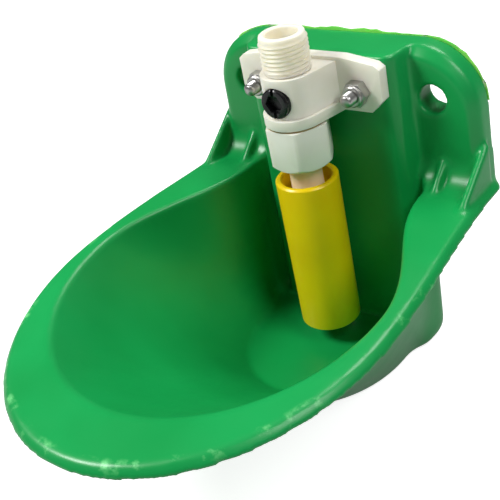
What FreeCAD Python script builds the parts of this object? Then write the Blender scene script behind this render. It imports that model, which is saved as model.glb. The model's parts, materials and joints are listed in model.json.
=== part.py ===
import FreeCAD, Part
import math
import os
import Sketcher

# Wall-mounted drinking bowl for livestock with a tilting-tube water valve.
# Frame: X across the wall, Y into the wall (the wall face is Y = 0, the animal stands at -Y), Z up.
# The origin is midway between the two wall holes, on the face that lies against the wall.

V = FreeCAD.Vector
doc = FreeCAD.newDocument("drinking_bowl")
sheet = doc.addObject("Spreadsheet::Sheet", "dims")

# Driving dimensions, in millimetres or degrees.
dimensions = {
    # Moulded shell
    "shell_wall": 3.5,
    "running_gap": 0.05,
    "joint_gap": 0.2,
    "cut_overlap": 1,
    # Wall plate
    "plate_top": 23,
    "plate_half_width": 68.5,
    "plate_foot_half_width": 70,
    "plate_corner": 29,
    "plate_bevel": 4.2,
    "wing_depth": 13,
    "wall_hole_spacing": 97,
    "wall_hole_diameter": 13,
    "wall_hole_boss_radius": 9.5,
    # Pilaster that carries the valve
    "pilaster_depth": 25,
    "pilaster_half_width": 39.5,
    "pilaster_face_half_width": 37.5,
    "pilaster_foot_spread": 3,
    "pilaster_hollow_foot": 34,
    "pilaster_bevel": 3,
    # Rim
    "rim_height": -38.5,
    "rim_half_width": 82.2,
    "rim_reach": 210.4,
    "rim_widest": 113,
    "rim_rear_half_width": 74.3,
    "rim_side_width": 8.8,
    "rim_front_width": 16.2,
    "rim_skirt": 4.4,
    "rim_front_drop": 11.5,
    "rim_drop_start": 55,
    "rim_drop_past": 15.6,
    "rim_bevel": 3,
    "rim_corner": 8,
    "ledge_cove": 12,
    # Bowl cavity
    "mouth_widest": 109,
    "mouth_rear_half_width": 45.5,
    "cavity_rear": 15,
    "cavity_corner": 9,
    "mouth_bevel": 1.2,
    "floor_height": -114.5,
    "floor_half_width": 38,
    "floor_widest": 45,
    "floor_reach": 92,
    "floor_rear_half_width": 46,
    "floor_corner": 11,
    "floor_round": 5,
    "cavity_curve": 1.02,
    # Gusset ribs
    "inner_rib_place": 52,
    "inner_rib_rise": 12,
    "inner_rib_run": 14,
    "outer_rib_place": 69.2,
    "outer_rib_rise": 16,
    "outer_rib_run": 22.5,
    "rib_thickness": 3.8,
    "rib_bevel": 1.2,
    # Valve body
    "valve_axis": 43,
    "body_radius": 12,
    "body_top": 22.5,
    "body_bottom": 0.5,
    "body_flare": 14,
    "collar_height": 4.5,
    "collar_step": 1.6,
    "spigot_radius": 11.3,
    "spigot_length": 6.5,
    "chamber_radius": 8,
    "chamber_top": 8.5,
    "channel_radius": 3.4,
    "ear_half_length": 36,
    "ear_thickness": 5.5,
    "ear_top": 24,
    "ear_shoulder": 21.6,
    "ear_corner": 5.5,
    "ear_cut_width": 2.5,
    "ear_cut_height": 2,
    # Inlet
    "inlet_thread_radius": 10.478,
    "inlet_bore_radius": 7,
    "inlet_top": 39,
    "inlet_chamfer": 1,
    "inlet_spigot_radius": 9,
    "inlet_spigot_depth": 4,
    "inlet_seal_height": 1,
    # Flow regulator
    "regulator_height": 12.6,
    "regulator_radius": 4,
    "regulator_end": 36,
    "regulator_face": 13.2,
    "regulator_head_radius": 6.6,
    "regulator_head_thickness": 3.2,
    "regulator_head_bevel": 0.5,
    "regulator_groove_place": 1,
    "regulator_groove_width": 0.6,
    "regulator_groove_depth": 0.4,
    "regulator_key_size": 7.4,
    "regulator_key_depth": 3,
    "regulator_mark_width": 1.6,
    "regulator_port_radius": 3,
    "regulator_ring_place": 50.4,
    "regulator_ring_width": 1.6,
    "regulator_ring_depth": 0.9,
    # Seat, plunger and spring
    "seat_top": -1.5,
    "seat_thickness": 2.5,
    "seat_outer_radius": 9.9,
    "seat_bore_radius": 3.6,
    "retainer_bore_radius": 4.4,
    "plunger_head_radius": 6,
    "plunger_head_height": 2.4,
    "plunger_pin_radius": 2.8,
    "plunger_guide_radius": 2.2,
    "plunger_guide_height": 3,
    "spring_radius": 4,
    "spring_wire": 0.8,
    "spring_turns": 4,
    # Cap nut
    "nut_across_flats": 26,
    "nut_corner_radius": 14.5,
    "nut_bottom": -19.5,
    "nut_chamfer": 1.5,
    "nut_seal_height": 1,
    "nut_thread_gap": 0.1,
    "socket_radius": 9.2,
    "socket_floor": -16.4,
    "nut_mouth_radius": 6.2,
    "nut_flare_radius": 9.6,
    "nut_flare_height": 2.7,
    # Tilting stem
    "ball_height": -11.5,
    "ball_radius": 7.6,
    "ball_flat": 4.2,
    "ball_gap": 0.06,
    "swivel_ring_rise": 1.5,
    "neck_radius": 4.6,
    "stem_radius": 7.3,
    "stem_shoulder": -20.4,
    "stem_seat": -50,
    "tenon_radius": 5,
    "tenon_length": 7.6,
    # Drinking tube
    "tube_radius": 14.2,
    "tube_bore_radius": 11.2,
    "tube_top": -27.5,
    "tube_floor_gap": 9.7,
    "tube_edge": 0.8,
    "hub_radius": 8,
    "hub_height": 8,
    "hub_gap": 0.1,
    "web_thickness": 2.4,
    "tube_screw_radius": 2,
    "tube_screw_length": 14,
    "tube_screw_head_radius": 4,
    "tube_screw_head_height": 3,
    "tube_screw_chamfer": 0.6,
    "tube_screw_end_gap": 1,
    "tube_screw_key_size": 3,
    "tube_screw_key_depth": 1.6,
    "tube_washer_radius": 7,
    "tube_washer_thickness": 1,
    # Mounting hardware
    "bolt_inset": 11,
    "bolt_height": 9.6,
    "bolt_radius": 3,
    "bolt_hole_radius": 3.3,
    "bolt_head_flats": 10,
    "bolt_head_height": 4,
    "bolt_end": 41.5,
    "bolt_end_chamfer": 0.6,
    "washer_radius": 6,
    "washer_thickness": 1.4,
    "lock_nut_flats": 10,
    "lock_nut_height": 4.6,
    "lock_nut_collar_radius": 4.7,
    "lock_nut_collar": 1.6,
    "lock_nut_bevel": 0.5
}
for row, (name, number) in enumerate(dimensions.items(), 1):
    sheet.set("A%d" % row, name)
    sheet.set("B%d" % row, str(number))
    sheet.setAlias("B%d" % row, name)
doc.recompute()
LETTERS = "abcdefghijklmnopqrstuvwxyz_"
TOUCH = 0.01


def size(name):
    """The number in the cell with this alias."""
    return float(sheet.get(name))


OVERLAP = size("cut_overlap")


def bound(text):
    """An expression for setExpression: each alias gets the sheet's name in front."""
    words = []
    word = ""
    for letter in text + " ":
        if letter in LETTERS:
            word += letter
            continue
        words.append("dims." + word if "_" in word else word)
        words.append(letter)
        word = ""
    return "".join(words).strip()


def worth(text):
    """The number that such an expression gives."""
    return float(sheet.evalExpression(bound(text)))


def new_body(label):
    body = doc.addObject("PartDesign::Body", label)
    body.Label = label
    return body


def origin_plane(body, role):
    for feature in body.Origin.OriginFeatures:
        if feature.Role == role:
            return feature
    raise ValueError(role)


def new_sketch(body, role, offset=None, axis="z"):
    """A sketch on one of the body's origin planes, moved along the plane's normal by an expression."""
    sketch = body.newObject("Sketcher::SketchObject", body.Label + "_outline")
    sketch.AttachmentSupport = (origin_plane(body, role), [""])
    sketch.MapMode = "FlatFace"
    if offset:
        sketch.setExpression("AttachmentOffset.Base." + axis, bound(offset))
    return sketch


def pin_point(sketch, index, corner, x_text, y_text):
    """Ties one end of a line to its two distances from the sketch's origin."""
    for kind, text in (("DistanceX", x_text), ("DistanceY", y_text)):
        number = worth(text)
        constraint = sketch.addConstraint(Sketcher.Constraint(kind, -1, 1, index, corner, number))
        sketch.setExpression("Constraints[%d]" % constraint, bound(text))


def draw_polygon(sketch, corners):
    """A closed outline of straight lines whose corners are pairs of expressions."""
    spots = [V(worth(x), worth(y), 0) for x, y in corners]
    lines = []
    for number, spot in enumerate(spots):
        after = spots[(number + 1) % len(spots)]
        lines.append(sketch.addGeometry(Part.LineSegment(spot, after), False))
    for number, line in enumerate(lines):
        after = lines[(number + 1) % len(lines)]
        sketch.addConstraint(Sketcher.Constraint("Coincident", line, 2, after, 1))
        pin_point(sketch, line, 1, *corners[number])


def draw_circle(sketch, radius, x_text="0", y_text="0"):
    centre = V(worth(x_text), worth(y_text), 0)
    circle = sketch.addGeometry(Part.Circle(centre, V(0, 0, 1), worth(radius)), False)
    constraint = sketch.addConstraint(Sketcher.Constraint("Radius", circle, worth(radius)))
    sketch.setExpression("Constraints[%d]" % constraint, bound(radius))
    pin_point(sketch, circle, 3, x_text, y_text)


def draw_hexagon(sketch, flats, x_text="0", y_text="0"):
    """A hexagon with two flats that face up and down in the sketch."""
    half = "(" + flats + ") / 2"
    corner = "(" + flats + ") / sqrt(3)"
    side = "(" + flats + ") / sqrt(12)"
    draw_polygon(sketch, [
        (x_text + " + " + corner, y_text),
        (x_text + " + " + side, y_text + " + " + half),
        (x_text + " - " + side, y_text + " + " + half),
        (x_text + " - " + corner, y_text),
        (x_text + " - " + side, y_text + " - " + half),
        (x_text + " + " + side, y_text + " - " + half)])


def turn(body, profile, cut=False):
    """Adds or cuts the solid that a profile of radii and heights makes round the body's Z axis."""
    sketch = new_sketch(body, "XZ_Plane")
    draw_polygon(sketch, profile)
    kind = "PartDesign::Groove" if cut else "PartDesign::Revolution"
    feature = body.newObject(kind, body.Label + "_turned")
    feature.Profile = sketch
    feature.ReferenceAxis = (sketch, ["V_Axis"])
    feature.Angle = 360
    doc.recompute()
    return feature


def raise_outline(body, role, offset, length, draw, cut=False, reverse=False):
    """Pads or pockets the outline that draw() puts on a sketch."""
    sketch = new_sketch(body, role, offset)
    draw(sketch)
    kind = "PartDesign::Pocket" if cut else "PartDesign::Pad"
    feature = body.newObject(kind, body.Label + ("_pocket" if cut else "_pad"))
    feature.Profile = sketch
    feature.setExpression("Length", bound(length))
    feature.Reversed = reverse
    doc.recompute()
    return feature


def place(body, x_text="0", y_text="0", z_text="0"):
    """Puts a sub-part at its place in the bowl's frame."""
    for letter, text in (("x", x_text), ("y", y_text), ("z", z_text)):
        body.setExpression("Placement.Base." + letter, bound(text))
    return body


# Bowl shell: free-form moulding, so its sections are drawn from the sheet's numbers and lofted.

def section(height, half_width, widest, reach, rear_half_width, rear, corner):
    """A level outline: half an ellipse in front, two flowing sides, and a straight rounded back."""
    flow = (widest - rear) / 3
    centre = V(0, -widest, height)
    depth = reach - widest
    left = V(-half_width, -widest, height)
    right = V(half_width, -widest, height)
    if depth > half_width:
        ellipse = Part.Ellipse(V(0, -reach, height), right, centre)
    else:
        ellipse = Part.Ellipse(right, V(0, depth - widest, height), centre)
    start = ellipse.parameter(left)
    end = ellipse.parameter(right)
    if end < start:
        end += 2 * math.pi
    front = Part.ArcOfEllipse(ellipse, start, end)
    edges = [front.toShape()]
    for side in (1, -1):
        inner = side * (rear_half_width - corner)
        bend = side * (rear_half_width - corner * (1 - math.sqrt(0.5)))
        curve = Part.BezierCurve()
        poles = [
            V(side * half_width, -widest, height),
            V(side * half_width, -widest + flow, height),
            V(side * rear_half_width, -rear - corner - flow, height),
            V(side * rear_half_width, -rear - corner, height)]
        middle = V(bend, -rear - corner * (1 - math.sqrt(0.5)), height)
        last = V(inner, -rear, height)
        if side > 0:
            curve.setPoles(poles)
            edges.append(curve.toShape())
            edges.append(Part.Arc(poles[3], middle, last).toShape())
            edges.append(Part.makeLine(last, V(-inner, -rear, height)))
        else:
            curve.setPoles(poles[::-1])
            edges.append(Part.Arc(last, middle, poles[3]).toShape())
            edges.append(curve.toShape())
    return Part.Wire(edges)


def cavity_levels():
    """Depth below the rim as a share, and the share of the way from mouth to floor outline there."""
    levels = []
    for down in (-0.06, 0.2, 0.45, 0.7, 0.9, 1):
        levels.append((down, down * abs(down) ** (size("cavity_curve") - 1)))
    return levels


def bowl_form(skin):
    """The cavity when skin is 0, and the bowl's outside when it is the wall."""
    wires = []
    depth = size("rim_height") - size("floor_height") + skin
    for down, share in cavity_levels():
        def between(mouth, floor):
            return mouth + (floor - mouth) * share
        wires.append(section(
            size("rim_height") - down * depth,
            between(size("rim_half_width") - size("rim_side_width"), size("floor_half_width")) + skin,
            between(size("mouth_widest"), size("floor_widest")),
            between(size("rim_reach") - size("rim_front_width"), size("floor_reach")) + skin,
            between(size("mouth_rear_half_width"), size("floor_rear_half_width")) + skin,
            size("cavity_rear") - skin,
            between(size("cavity_corner"), size("floor_corner")) + skin))
    form = Part.makeLoft(wires, True, False)
    bottom = size("floor_height") - skin
    edges = [e for e in form.Edges if e.BoundBox.ZMax < bottom + TOUCH]
    return form.makeFillet(size("floor_round") + skin, edges)


def rim_form(inset, upper, lower):
    """The rim's plan outline between two copies of its falling side line, moved up or down."""
    top = size("rim_height")
    plan = section(
        0,
        size("rim_half_width") - inset,
        size("rim_widest"),
        size("rim_reach") - inset,
        size("rim_rear_half_width") - inset,
        inset,
        size("rim_corner"))
    tall = top - size("floor_height")
    prism = Part.Face(plan).extrude(V(0, 0, 2 * tall))
    prism.translate(V(0, 0, top - tall))
    start = size("rim_drop_start")
    reach = size("rim_reach") + size("rim_drop_past")
    drop = size("rim_front_drop")
    third = (reach - start) / 3
    line = Part.BezierCurve()
    line.setPoles([V(0, -start, top), V(0, -start - third, top), V(0, -reach, top - drop)])
    high = line.copy()
    high.translate(V(0, 0, upper))
    low = line.copy()
    low.translate(V(0, 0, lower))
    behind = OVERLAP - inset
    corners = [
        V(0, -start, top + upper),
        V(0, behind, top + upper),
        V(0, behind, top + lower),
        V(0, -start, top + lower)]
    edges = [Part.makeLine(corners[k], corners[k + 1]) for k in range(3)]
    edges.append(low.toShape())
    edges.append(Part.makeLine(V(0, -reach, top - drop + lower), V(0, -reach, top - drop + upper)))
    edges.append(high.toShape())
    side = Part.Face(Part.Wire(Part.__sortEdges__(edges)))
    side.translate(V(-reach, 0, 0))
    return prism.common(side.extrude(V(2 * reach, 0, 0)))


def prism_y(corners, near, far):
    """A prism along Y between two distances from the wall; corners are (x, z) pairs."""
    points = [V(x, -near, z) for x, z in corners]
    face = Part.Face(Part.makePolygon(points + points[:1]))
    return face.extrude(V(0, near - far, 0))


def prism_x(edges, centre, width):
    """A prism along X, width wide about centre, from edges drawn in the plane X = 0."""
    face = Part.Face(Part.Wire(edges))
    face.translate(V(centre - width / 2, 0, 0))
    return face.extrude(V(width, 0, 0))


def bevel_front(solid, depth):
    """Bevels the edges of a solid's flat front face, which lies at Y = -depth."""
    chosen = []
    for edge in solid.Edges:
        box = edge.BoundBox
        flat = abs(box.YMin + depth) < TOUCH and abs(box.YMax + depth) < TOUCH
        if flat and box.ZMax > size("rim_height"):
            chosen.append(edge)
    return solid.makeChamfer(size("plate_bevel"), chosen)


def plate_layer(depth, inset):
    """The plate's outline drawn in by inset and raised to a depth from the wall."""
    radius = size("plate_corner") - inset
    half = size("plate_half_width") - inset
    foot = size("plate_foot_half_width") - inset
    top = size("plate_top") - inset
    bottom = size("rim_height") - size("shell_wall")
    bend = radius * (1 - math.sqrt(0.5))
    edges = [Part.makeLine(V(-foot, 0, bottom), V(foot, 0, bottom))]
    for side in (1, -1):
        start = V(side * half, 0, top - radius)
        middle = V(side * (half - bend), 0, top - bend)
        end = V(side * (half - radius), 0, top)
        edges.append(Part.makeLine(V(side * foot, 0, bottom), start))
        edges.append(Part.Arc(start, middle, end).toShape())
    edges.append(Part.makeLine(V(half - radius, 0, top), V(radius - half, 0, top)))
    face = Part.Face(Part.Wire(Part.__sortEdges__(edges)))
    return face.extrude(V(0, -depth, 0))


def wall_plate():
    """The plate against the wall, with a wide bevel along its front edge."""
    depth = size("wing_depth")
    return bevel_front(plate_layer(depth, 0), depth)


def pilaster_section(height, root, edge, face):
    corners = [V(-root, 0, height), V(-root, -size("wing_depth"), height), V(-edge, -face, height)]
    corners += [V(-corner.x, corner.y, height) for corner in reversed(corners)]
    return Part.makePolygon(corners + corners[:1])


def pilaster_form():
    """The upright box that carries the valve and makes the cavity's rear wall."""
    face = size("pilaster_depth")
    wires = []
    for height, extra in (
            (size("floor_height"), size("pilaster_foot_spread")),
            (size("plate_top"), 0)):
        root = size("pilaster_half_width") + extra
        edge = size("pilaster_face_half_width") + extra
        wires.append(pilaster_section(height, root, edge, face))
    solid = Part.makeLoft(wires, True, True)
    upright = []
    for edge in solid.Edges:
        box = edge.BoundBox
        if box.ZLength > face and abs(box.YMin + face) < TOUCH:
            upright.append(edge)
    return solid.makeChamfer(size("pilaster_bevel"), upright)


def pilaster_hollow():
    """The recess behind the pilaster, open towards the wall and narrower inside the bowl."""
    wall = size("shell_wall")
    face = size("pilaster_depth") - wall
    root = size("pilaster_half_width") - wall
    edge = size("pilaster_face_half_width") - wall
    narrow = size("pilaster_hollow_foot")
    top = pilaster_section(size("plate_top") - wall, root, edge, face)
    middle = pilaster_section(size("rim_height"), root, edge, face)
    foot = pilaster_section(size("floor_height"), narrow, narrow, face)
    upper = Part.makeLoft([middle, top], True, True)
    return upper.fuse(Part.makeLoft([foot, middle], True, True))


def gusset(place, rise, run, behind):
    """A rib with a bevelled crest between the plate and the ledge. It starts behind the plate's front."""
    ledge = size("rim_height")
    slope = rise / run
    wall = -size("wing_depth")
    rear = wall + behind
    toe = wall - run - OVERLAP / slope
    corners = [
        V(0, rear, ledge - OVERLAP),
        V(0, rear, ledge + rise + behind * slope),
        V(0, toe, ledge - OVERLAP)]
    edges = [Part.makeLine(corners[k], corners[(k + 1) % 3]) for k in range(3)]
    rib = prism_x(edges, place, size("rib_thickness"))
    crest = []
    for edge in rib.Edges:
        box = edge.BoundBox
        if box.ZLength > OVERLAP and box.YLength > OVERLAP:
            crest.append(edge)
    return rib.makeChamfer(size("rib_bevel"), crest)


def cove(side):
    """The concave moulding between the plate and the ledge on one side of the pilaster."""
    radius = size("ledge_cove")
    wall = -size("wing_depth")
    ledge = size("rim_height")
    high = V(0, wall, ledge + radius)
    low = V(0, wall - radius, ledge)
    middle = V(0, wall - radius * (1 - math.sqrt(0.5)), ledge + radius * (1 - math.sqrt(0.5)))
    back = V(0, wall + OVERLAP, ledge + radius)
    foot = V(0, wall + OVERLAP, ledge - OVERLAP)
    front = V(0, wall - radius, ledge - OVERLAP)
    edges = [
        Part.Arc(high, middle, low).toShape(),
        Part.makeLine(low, front),
        Part.makeLine(front, foot),
        Part.makeLine(foot, back),
        Part.makeLine(back, high)]
    inner = size("pilaster_half_width") - OVERLAP
    outer = size("outer_rib_place")
    return prism_x(edges, side * (inner + outer) / 2, outer - inner)


def along_y(radius, x, z, near, far):
    return Part.makeCylinder(radius, near - far, V(x, -near, z), V(0, 1, 0))


def wing_hollow(side):
    """The open pocket behind one wing, clear of the wall hole's boss."""
    wall = size("shell_wall")
    depth = size("wing_depth") - wall
    pocket = plate_layer(depth + OVERLAP, wall + size("plate_bevel") / 2)
    pocket.translate(V(0, OVERLAP, 0))
    inner = size("pilaster_half_width") + wall
    outer = size("plate_foot_half_width")
    bottom = size("rim_height") + wall
    corners = [(side * x, z) for x, z in (
        (inner, bottom), (outer, bottom), (outer, size("plate_top")), (inner, size("plate_top")))]
    pocket = pocket.common(prism_y(corners, size("wing_depth"), -OVERLAP))
    x = side * size("wall_hole_spacing") / 2
    return pocket.cut(along_y(size("wall_hole_boss_radius"), x, 0, size("wing_depth"), -OVERLAP))


def make_shell():
    wall = size("shell_wall")
    skirt = size("rim_skirt")
    rim = rim_form(0, 0, -skirt)
    crest = []
    for edge in rim.Edges:
        box = edge.BoundBox
        at_top = abs(box.ZMax - size("rim_height")) < TOUCH
        if at_top and box.YLength > OVERLAP:
            crest.append(edge)
    rim = rim.makeChamfer(size("rim_bevel"), crest)
    rim = rim.cut(rim_form(wall, -wall, -2 * skirt))
    above_rim = rim_form(-skirt, 0, 2 * skirt + size("rim_front_drop"))
    bowl = bowl_form(wall).cut(above_rim)
    shell = rim.fuse([bowl, wall_plate(), cove(1), cove(-1)])
    ribs = []
    for side in (1, -1):
        ribs.append(gusset(
            side * size("inner_rib_place"), size("inner_rib_rise"), size("inner_rib_run"), OVERLAP))
        ribs.append(gusset(
            side * size("outer_rib_place"), size("outer_rib_rise"), size("outer_rib_run"),
            size("plate_bevel") + OVERLAP))
    shell = shell.fuse(ribs).cut(bowl_form(0))
    shell = shell.fuse(pilaster_form().common(bowl_form(wall).fuse(wall_plate_space())))
    shell = shell.cut([wing_hollow(1), wing_hollow(-1), pilaster_hollow()])
    for side in (1, -1):
        x = side * size("wall_hole_spacing") / 2
        bolt = side * (size("ear_half_length") - size("bolt_inset"))
        through = size("pilaster_depth") + OVERLAP
        shell = shell.cut(along_y(size("wall_hole_diameter") / 2, x, 0, through, -OVERLAP))
        shell = shell.cut(along_y(size("bolt_hole_radius"), bolt, size("bolt_height"), through, -OVERLAP))
    return bevel_mouth(shell.removeSplitter())


def bevel_mouth(shell):
    """Bevels the edge where the cavity runs out onto the rim."""
    cavity = bowl_form(0)
    shortest = 2 * size("mouth_bevel")
    lip = []
    for edge in shell.Edges:
        box = edge.BoundBox
        at_rim = abs(box.ZMax - size("rim_height")) < TOUCH
        behind = box.YMin > -size("pilaster_depth") - OVERLAP
        if not at_rim or behind or max(box.XLength, box.YLength) < shortest:
            continue
        gaps = []
        for share in (0.1, 0.5, 0.9):
            along = edge.FirstParameter + share * (edge.LastParameter - edge.FirstParameter)
            gaps.append(cavity.distToShape(Part.Vertex(edge.valueAt(along)))[0])
        if max(gaps) < TOUCH:
            lip.append(edge)
    return shell.makeChamfer(size("mouth_bevel"), lip)


def wall_plate_space():
    """All the room above the ledge, where the pilaster stands free."""
    reach = size("pilaster_depth") + OVERLAP
    high = size("plate_top") - size("rim_height") + size("rim_skirt")
    start = V(-size("rim_half_width"), -reach, size("rim_height") - size("rim_skirt"))
    return Part.makeBox(2 * size("rim_half_width"), reach, high, start)


bowl_shell = doc.addObject("Part::Feature", "bowl_shell")
bowl_shell.Label = "bowl_shell"
bowl_shell.Shape = make_shell()
bowl_shell.Placement = FreeCAD.Placement()


# Valve body: one moulding with a barrel, a flange with two ears, and a threaded spigot below.

ear_back = "(valve_axis - pilaster_depth)"
ear_front = "(valve_axis - pilaster_depth - ear_thickness)"


def barrel_sides(step):
    """The block behind the barrel, whose sides run off the barrel as tangents."""
    radius = "(body_radius + " + step + ")"
    side_x = radius + " * cos(body_flare * 1deg)"
    side_y = radius + " * sin(body_flare * 1deg)"
    wide = side_x + " + (" + ear_front + " + " + side_y + ") * tan(body_flare * 1deg)"

    def draw(sketch):
        draw_polygon(sketch, [
            (side_x, "-" + side_y),
            (wide, ear_front),
            (wide, ear_back),
            ("-(" + wide + ")", ear_back),
            ("-(" + wide + ")", ear_front),
            ("-" + side_x, "-" + side_y)])
    return draw


def ears(sketch):
    draw_polygon(sketch, [
        ("ear_half_length - ear_corner", "body_bottom"),
        ("ear_half_length", "body_bottom + ear_corner"),
        ("ear_half_length", "ear_shoulder - ear_cut_height"),
        ("ear_half_length - ear_cut_width", "ear_shoulder"),
        ("ear_half_length / 2", "ear_top"),
        ("-ear_half_length / 2", "ear_top"),
        ("ear_cut_width - ear_half_length", "ear_shoulder"),
        ("-ear_half_length", "ear_shoulder - ear_cut_height"),
        ("-ear_half_length", "body_bottom + ear_corner"),
        ("ear_corner - ear_half_length", "body_bottom")])


def bolt_holes(sketch):
    draw_circle(sketch, "bolt_hole_radius", "ear_half_length - bolt_inset", "bolt_height")
    draw_circle(sketch, "bolt_hole_radius", "bolt_inset - ear_half_length", "bolt_height")


def make_valve_body():
    body = new_body("valve_body")
    height = "body_top - body_bottom"
    step = "collar_step"
    raise_outline(body, "XY_Plane", "body_bottom", height, lambda s: draw_circle(s, "body_radius"))
    raise_outline(body, "XY_Plane", "body_bottom", height, barrel_sides("0"))
    collar = "body_radius + collar_step"
    raise_outline(body, "XY_Plane", "body_bottom", "collar_height", lambda s: draw_circle(s, collar))
    raise_outline(body, "XY_Plane", "body_bottom", "collar_height", barrel_sides(step))
    raise_outline(body, "XZ_Plane", "-" + ear_back, "ear_thickness", ears)
    raise_outline(body, "XY_Plane", "body_bottom - spigot_length", "spigot_length",
                  lambda s: draw_circle(s, "spigot_radius"))
    turn(body, [
        ("0", "body_top + cut_overlap"),
        ("inlet_spigot_radius + running_gap", "body_top + cut_overlap"),
        ("inlet_spigot_radius + running_gap", "body_top - inlet_spigot_depth - inlet_seal_height"),
        ("channel_radius", "body_top - inlet_spigot_depth - inlet_seal_height"),
        ("channel_radius", "chamber_top"),
        ("chamber_radius", "chamber_top"),
        ("chamber_radius", "seat_top"),
        ("seat_outer_radius + running_gap", "seat_top"),
        ("seat_outer_radius + running_gap", "body_bottom - spigot_length - cut_overlap"),
        ("0", "body_bottom - spigot_length - cut_overlap")], cut=True)
    front = "valve_axis / 2"
    raise_outline(body, "XZ_Plane", front, front + " + valve_axis - regulator_end",
                  lambda s: draw_circle(s, "regulator_radius + running_gap", "0", "regulator_height"),
                  cut=True)
    raise_outline(body, "XZ_Plane", front, front + " - regulator_face + regulator_head_thickness",
                  lambda s: draw_circle(s, "regulator_head_radius + joint_gap", "0", "regulator_height"),
                  cut=True)
    raise_outline(body, "XZ_Plane", "0", "valve_axis", bolt_holes, cut=True)
    return place(body, "0", "-valve_axis")


def make_inlet_nipple():
    body = new_body("inlet_nipple")
    turn(body, [
        ("inlet_bore_radius", "inlet_top"),
        ("inlet_thread_radius - inlet_chamfer", "inlet_top"),
        ("inlet_thread_radius", "inlet_top - inlet_chamfer"),
        ("inlet_thread_radius", "body_top"),
        ("inlet_spigot_radius", "body_top"),
        ("inlet_spigot_radius", "body_top - inlet_spigot_depth"),
        ("inlet_bore_radius", "body_top - inlet_spigot_depth")])
    return place(body, "0", "-valve_axis")


def ring(label, bore, radius, low, high):
    """A plain ring round the valve's axis."""
    body = new_body(label)
    turn(body, [(bore, low), (radius, low), (radius, high), (bore, high)])
    return place(body, "0", "-valve_axis")


def make_regulator():
    """The quarter-turn plug: its own Z axis points out of the valve's front."""
    body = new_body("flow_regulator")
    back = "regulator_face - regulator_head_thickness"
    groove = back + " + regulator_groove_place"
    ring_low = "(regulator_ring_place - valve_axis - regulator_ring_width / 2)"
    ring_high = "(regulator_ring_place - valve_axis + regulator_ring_width / 2)"
    turn(body, [
        ("0", "regulator_end - valve_axis + joint_gap"),
        ("regulator_radius", "regulator_end - valve_axis + joint_gap"),
        ("regulator_radius", ring_low),
        ("regulator_radius - regulator_ring_depth", ring_low),
        ("regulator_radius - regulator_ring_depth", ring_high),
        ("regulator_radius", ring_high),
        ("regulator_radius", back),
        ("regulator_head_radius", back),
        ("regulator_head_radius", groove),
        ("regulator_head_radius - regulator_groove_depth", groove + " + regulator_groove_width / 2"),
        ("regulator_head_radius", groove + " + regulator_groove_width"),
        ("regulator_head_radius", "regulator_face - regulator_head_bevel"),
        ("regulator_head_radius - regulator_head_bevel", "regulator_face"),
        ("0", "regulator_face")])
    raise_outline(body, "XY_Plane", "regulator_face", "regulator_key_depth",
                  lambda s: draw_hexagon(s, "regulator_key_size"), cut=True)

    def mark(sketch):
        draw_polygon(sketch, [
            ("regulator_mark_width / 2", "-regulator_head_radius - cut_overlap"),
            ("regulator_mark_width / 2", "regulator_head_radius + cut_overlap"),
            ("-regulator_mark_width / 2", "regulator_head_radius + cut_overlap"),
            ("-regulator_mark_width / 2", "-regulator_head_radius - cut_overlap")])
    raise_outline(body, "XY_Plane", "regulator_face", "regulator_mark_width", mark, cut=True)
    port = raise_outline(body, "XZ_Plane", "0", "regulator_head_radius * 2",
                         lambda s: draw_circle(s, "regulator_port_radius"), cut=True)
    port.Midplane = True
    body.Placement = FreeCAD.Placement(V(), FreeCAD.Rotation(V(1, 0, 0), 90))
    return place(body, "0", "-valve_axis", "regulator_height")


def make_regulator_ring():
    body = new_body("regulator_o_ring")
    low = "regulator_ring_place - valve_axis - regulator_ring_width / 2 + running_gap"
    high = "regulator_ring_place - valve_axis + regulator_ring_width / 2 - running_gap"
    turn(body, [
        ("regulator_radius - regulator_ring_depth + running_gap / 2", low),
        ("regulator_radius + running_gap / 2", low),
        ("regulator_radius + running_gap / 2", high),
        ("regulator_radius - regulator_ring_depth + running_gap / 2", high)])
    body.Placement = FreeCAD.Placement(V(), FreeCAD.Rotation(V(1, 0, 0), 90))
    return place(body, "0", "-valve_axis", "regulator_height")


def make_plunger():
    body = new_body("plunger")
    turn(body, [
        ("0", "ball_height + ball_flat + running_gap"),
        ("plunger_pin_radius", "ball_height + ball_flat + running_gap"),
        ("plunger_pin_radius", "seat_top"),
        ("plunger_head_radius", "seat_top"),
        ("plunger_head_radius", "seat_top + plunger_head_height"),
        ("plunger_guide_radius", "seat_top + plunger_head_height"),
        ("plunger_guide_radius", "seat_top + plunger_head_height + plunger_guide_height"),
        ("0", "seat_top + plunger_head_height + plunger_guide_height")])
    return place(body, "0", "-valve_axis")


def make_spring():
    """A coil between the chamber's roof and the plunger's head. Its wire has six flats, to keep it light."""
    wire = size("spring_wire")
    low = size("seat_top") + size("plunger_head_height") + wire / 2
    high = size("chamber_top") - wire / 2
    path = Part.makeHelix((high - low) / size("spring_turns"), high - low, size("spring_radius"))
    corners = []
    for step in range(6):
        angle = step * math.pi / 3
        corners.append(V(size("spring_radius") + wire / 2 * math.cos(angle), 0, wire / 2 * math.sin(angle)))
    outline = Part.makePolygon(corners + corners[:1])
    coil = Part.Wire(path).makePipeShell([outline], True, True)
    spring = doc.addObject("Part::Feature", "valve_spring")
    spring.Shape = coil
    spring.Placement = FreeCAD.Placement(V(0, -size("valve_axis"), low), FreeCAD.Rotation())
    return spring


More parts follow.
